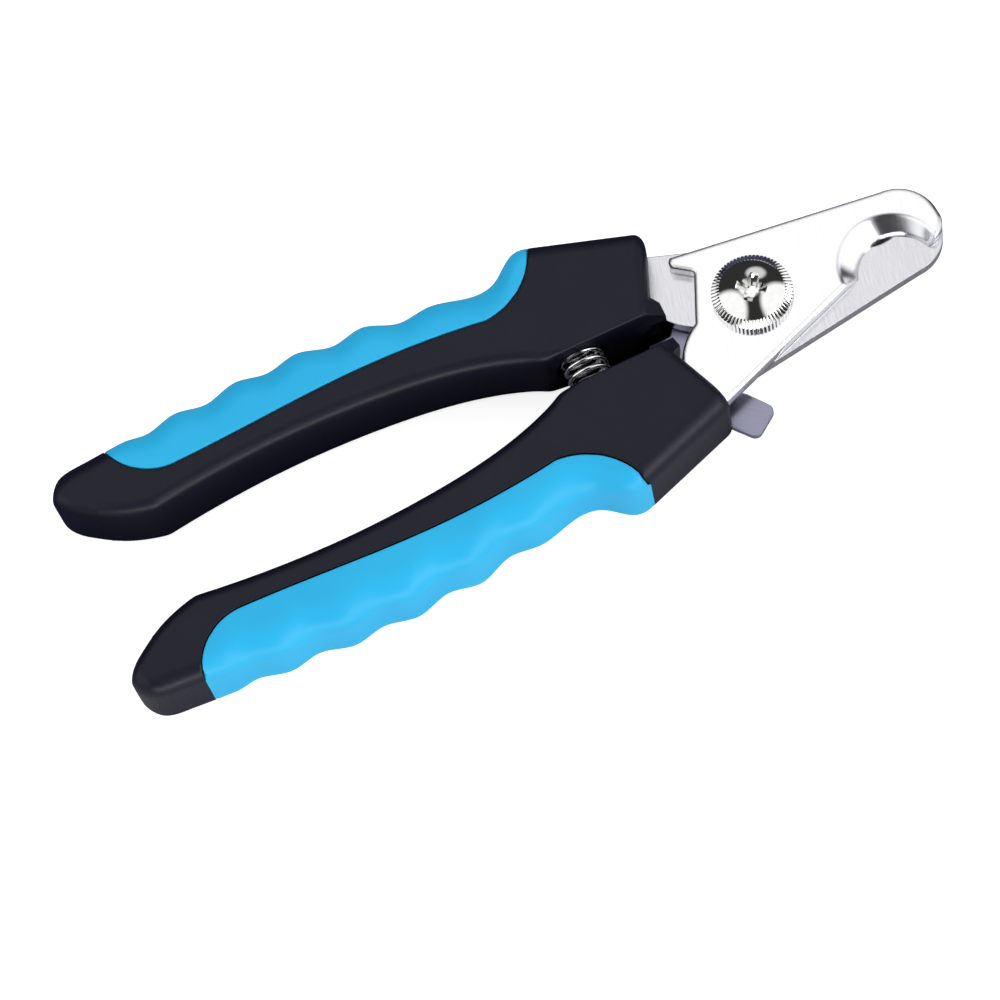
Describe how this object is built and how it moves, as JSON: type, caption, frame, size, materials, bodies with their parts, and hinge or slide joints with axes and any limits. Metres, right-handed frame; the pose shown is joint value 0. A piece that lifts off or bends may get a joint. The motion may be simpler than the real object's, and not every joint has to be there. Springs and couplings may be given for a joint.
{
  "type": "pet nail trimmer",
  "caption": "Plier-style pet nail trimmer with hooked bypass blades, quick guard, return spring, thumb lock and ripple-gripped handles.",
  "frame": {"origin": "middle of the closed tool's bounding box; the pivot axis stands 42.7 mm from it along +X, and z = 0 is the plane where the two blades slide on each other", "axes": "+X towards the jaw tips, +Y towards the rear lever's handle, +Z towards the screw head; the tool is closed"},
  "size_m": [0.154, 0.048, 0.0144],
  "materials": {
    "polished_steel": "polished stainless",
    "brushed_steel": "brushed stainless",
    "chrome_screw": "bright chrome plate",
    "lock_steel": "satin zinc plate",
    "spring_steel": "bright wire",
    "black_plastic": "satin black moulding",
    "core_plastic": "hard black insert",
    "blue_rubber": "soft blue rubber"
  },
  "bodies": {
    "front_lever": {"front_blade": "polished_steel", "front_handle_core": "core_plastic", "front_handle_cover": "black_plastic", "front_handle_grip": "blue_rubber", "front_tang_pins": "spring_steel", "pivot_screw": "chrome_screw", "pivot_bush": "brushed_steel", "pivot_nut": "chrome_screw", "guard_washer": "brushed_steel", "wave_washer": "spring_steel", "lock_pin": "spring_steel", "lock_washer": "spring_steel", "return_spring": "spring_steel"},
    "rear_lever": {"rear_blade": "brushed_steel", "rear_handle_core": "core_plastic", "rear_handle_cover": "black_plastic", "rear_handle_grip": "blue_rubber", "rear_tang_pins": "spring_steel"},
    "guard": {"guard_plate": "brushed_steel"},
    "lock": {"lock_lever": "lock_steel"}
  },
  "joints": [
    {"name": "jaw_hinge", "type": "hinge", "parent": "front_lever", "child": "rear_lever", "pos_m": [0.0427, 0, 0], "axis": [0, 0, -1], "range_deg": [0, 22], "deforming": ["return_spring"]},
    {"name": "guard_hinge", "type": "hinge", "parent": "front_lever", "child": "guard", "pos_m": [0.0427, 0, -0.00325], "axis": [0, 0, 1], "range_deg": [0, 50]},
    {"name": "lock_hinge", "type": "hinge", "parent": "front_lever", "child": "lock", "pos_m": [0.0222, -0.0065, -0.0033], "axis": [0, 0, 1], "range_deg": [0, 14]}
  ]
}
